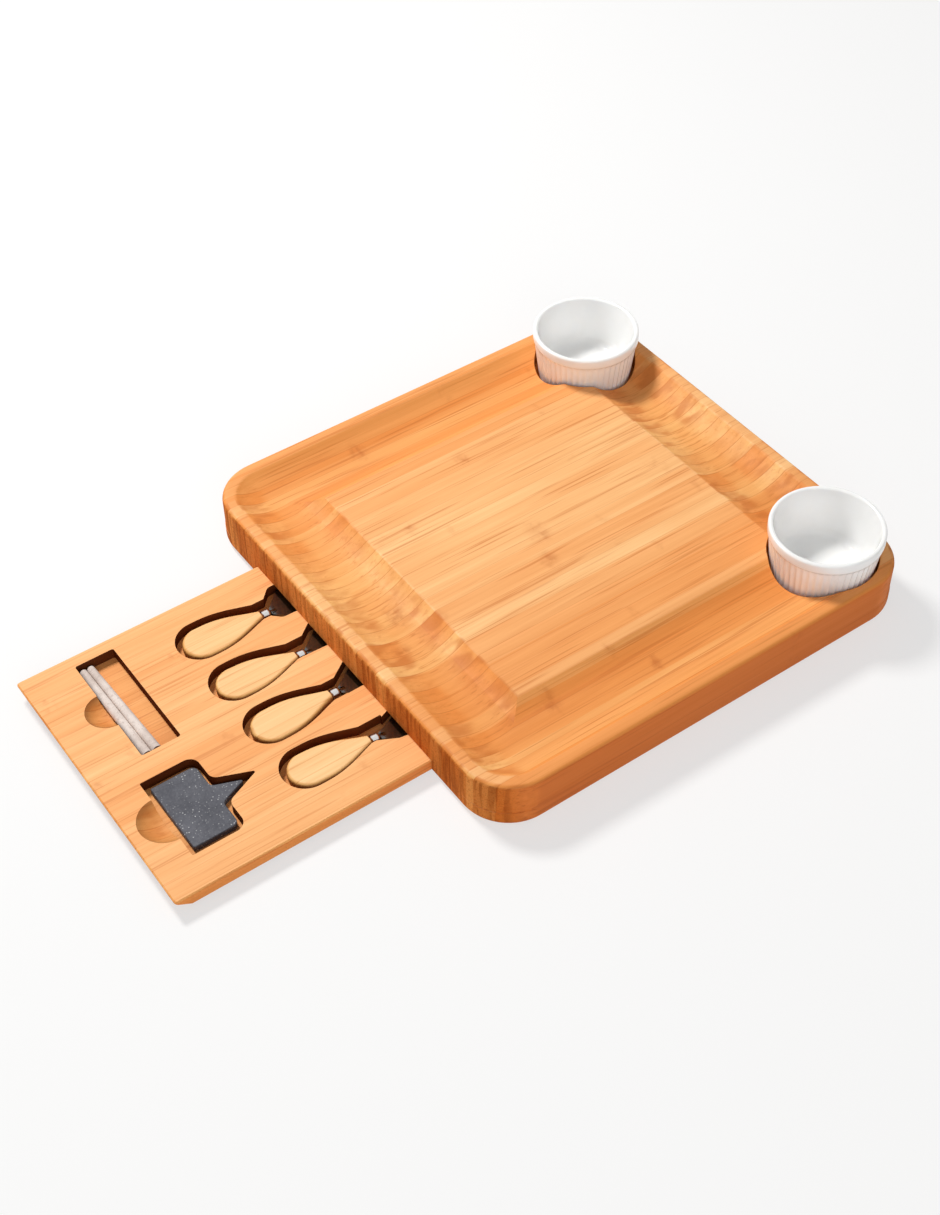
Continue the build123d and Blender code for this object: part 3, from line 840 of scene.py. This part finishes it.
# %% [markdown]
# ## The solids that stay
#
# The rails, the drawer, the handles and ferrules, the slate and the chalk already have their
# true shapes, so they stay as they are and only change their finish.

# %% Finishes for the solids that stay
kept = {"left_side_rail": rail_bamboo, "right_side_rail": rail_bamboo, "rear_rail": cross_bamboo,
        "drawer_tray": drawer_bamboo, "drawer_bottom": sheet_bamboo, "slate_marker": slate_finish,
        "front_chalk_stick": chalk_finish, "rear_chalk_stick": chalk_finish}
for knife in knives:
    kept[knife + "_handle"] = handle_bamboo
    kept[knife + "_ferrule"] = ferrule_steel
for node, finish in kept.items():
    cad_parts[node].data.materials.clear()
    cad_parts[node].data.materials.append(finish)
print("solids refinished:", len(kept))

# %% [markdown]
# ## The floor
#
# The board lies on a plain pale floor. The floor is whiter for rays that come from the camera
# or from a mirror than for those that light the board, so the background stays white while
# the board keeps its own colours and its shadow. The Light Path node tells those rays apart,
# and a share of plain white is mixed in for them. Far away, where the lamps no longer reach,
# that share grows to the whole. The floor is staged, so it is not part of the object.

# %% Floor
floor_half = 15.0
floor_drop = 0.0002
near_white = 0.6
far_white = 1.0
white_grows_from = 1.1
white_grows_to = 3.0


def seen_rays(tree):
    """1 for rays from the camera, off a mirror or through glass, and 0 for those that give light."""
    paths = tree.nodes.new("ShaderNodeLightPath").outputs
    seen = paths["Is Camera Ray"]
    for kind in ("Is Glossy Ray", "Is Transmission Ray"):
        either = tree.nodes.new("ShaderNodeMath")
        either.operation = "MAXIMUM"
        tree.links.new(seen, either.inputs[0])
        tree.links.new(paths[kind], either.inputs[1])
        seen = either.outputs[0]
    return seen


f = Finish("floor_white")
spot = f.add("TexCoord").outputs["Object"]
f.set(Base_Color=f.blend(f.noise(spot, 3), (0.86, 0.86, 0.86), (0.88, 0.88, 0.88)), Roughness=0.9)
f.set(Specular_IOR_Level=0.1)
white = f.add("Emission", {"Color": (1, 1, 1), "Strength": 1.0})
away = f.add("VectorMath", {0: spot}, operation="LENGTH").outputs["Value"]
share = f.ramp(away, white_grows_from, white_grows_to, near_white, far_white)
both = f.add("MixShader", {"Fac": f.times(seen_rays(f.tree), share)})
f.fill(both.inputs[1], f.shader.outputs[0])
f.fill(both.inputs[2], white.outputs[0])
surface = next(n for n in f.tree.nodes if n.type == "OUTPUT_MATERIAL").inputs["Surface"]
f.fill(surface, both.outputs[0])
bm = bmesh.new()
bmesh.ops.create_grid(bm, x_segments=1, y_segments=1, size=floor_half,
                      matrix=Matrix.Translation((0, 0, -floor_drop)))
mesh = bpy.data.meshes.new("floor")
bm.to_mesh(mesh)
bm.free()
mesh.materials.append(f.material)
floor = bpy.data.objects.new("floor", mesh)
bpy.context.scene.collection.objects.link(floor)
floor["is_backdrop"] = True
print("floor size m", [round(v, 1) for v in floor.dimensions])

# %% [markdown]
# ## Lamps and surroundings
#
# A soft lamp stands high on the left, a little in front, so the trough's slopes that face
# right fall into shade. A broad weak lamp on the right and the pale surroundings fill in the
# rest. A disk lamp gives a round highlight, and the larger the disk, the softer its shadow.

# %% Lamps and surroundings
surround_light = 0.28
surround_seen = 0.7


def lamp(name, place, aim, size, power, colour=(1, 1, 1)):
    light = bpy.data.lights.new(name, "AREA")
    light.shape = "DISK"
    light.size = size
    light.energy = power
    light.color = colour
    made = bpy.data.objects.new(name, light)
    made.location = place
    made.rotation_euler = (Vector(aim) - Vector(place)).to_track_quat("-Z", "Y").to_euler()
    bpy.context.scene.collection.objects.link(made)


lamp("key", (-1.15, -0.3, 1.62), (0, -0.05, 0), 0.45, 34.5, (1.0, 0.985, 0.96))
lamp("fill", (1.7, -0.75, 0.95), (0, 0.02, 0), 1.5, 11)
world = bpy.data.worlds.new("studio")
world.use_nodes = True
tree = world.node_tree
sky = tree.nodes["Background"]
sky.inputs["Color"].default_value = (1, 1, 1, 1)
level = tree.nodes.new("ShaderNodeMath")
level.operation = "MULTIPLY_ADD"
level.inputs[1].default_value = surround_seen
level.inputs[2].default_value = surround_light
tree.links.new(seen_rays(tree), level.inputs[0])
tree.links.new(level.outputs[0], sky.inputs["Strength"])
bpy.context.scene.world = world
bpy.context.scene.view_settings.view_transform = "Standard"

# %% [markdown]
# ## The camera
#
# The camera stands where the photograph was taken from. Its place was worked out from the
# corners of the board: an angle round the board, an angle up, a slight roll and a distance.
# From these come the camera's own right, up and back, which are the columns of its matrix.

# %% Camera
azimuth = math.radians(55.0573)
elevation = math.radians(46.5791)
roll = math.radians(-0.7713)
distance = 1.17667
aim = Vector((0.005943, -0.069823, 0.004))
round_x = math.sin(azimuth) * math.cos(elevation)
round_y = -math.cos(azimuth) * math.cos(elevation)
back = Vector((round_x, round_y, math.sin(elevation)))
level_right = Vector((math.cos(azimuth), math.sin(azimuth), 0))
level_up = back.cross(level_right)
right = math.cos(roll) * level_right + math.sin(roll) * level_up
upward = math.cos(roll) * level_up - math.sin(roll) * level_right
camera_data = bpy.data.cameras.new("camera")
camera_data.sensor_width = 36.0
camera_data.lens = 54.17
camera = bpy.data.objects.new("camera", camera_data)
turned = Matrix((right, upward, back)).transposed().to_4x4()
camera.matrix_world = Matrix.Translation(aim + back * distance) @ turned
bpy.context.scene.collection.objects.link(camera)
bpy.context.scene.camera = camera
print("camera at", [round(v, 3) for v in camera.location])

# %% [markdown]
# ## Sizes, and the end
#
# The box round the dressed object is printed, so that a piece that grew or moved shows up at
# once.

# %% Sizes, and the end
low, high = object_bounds()
print("visual box", [round(v, 4) for v in (*low, *high)])
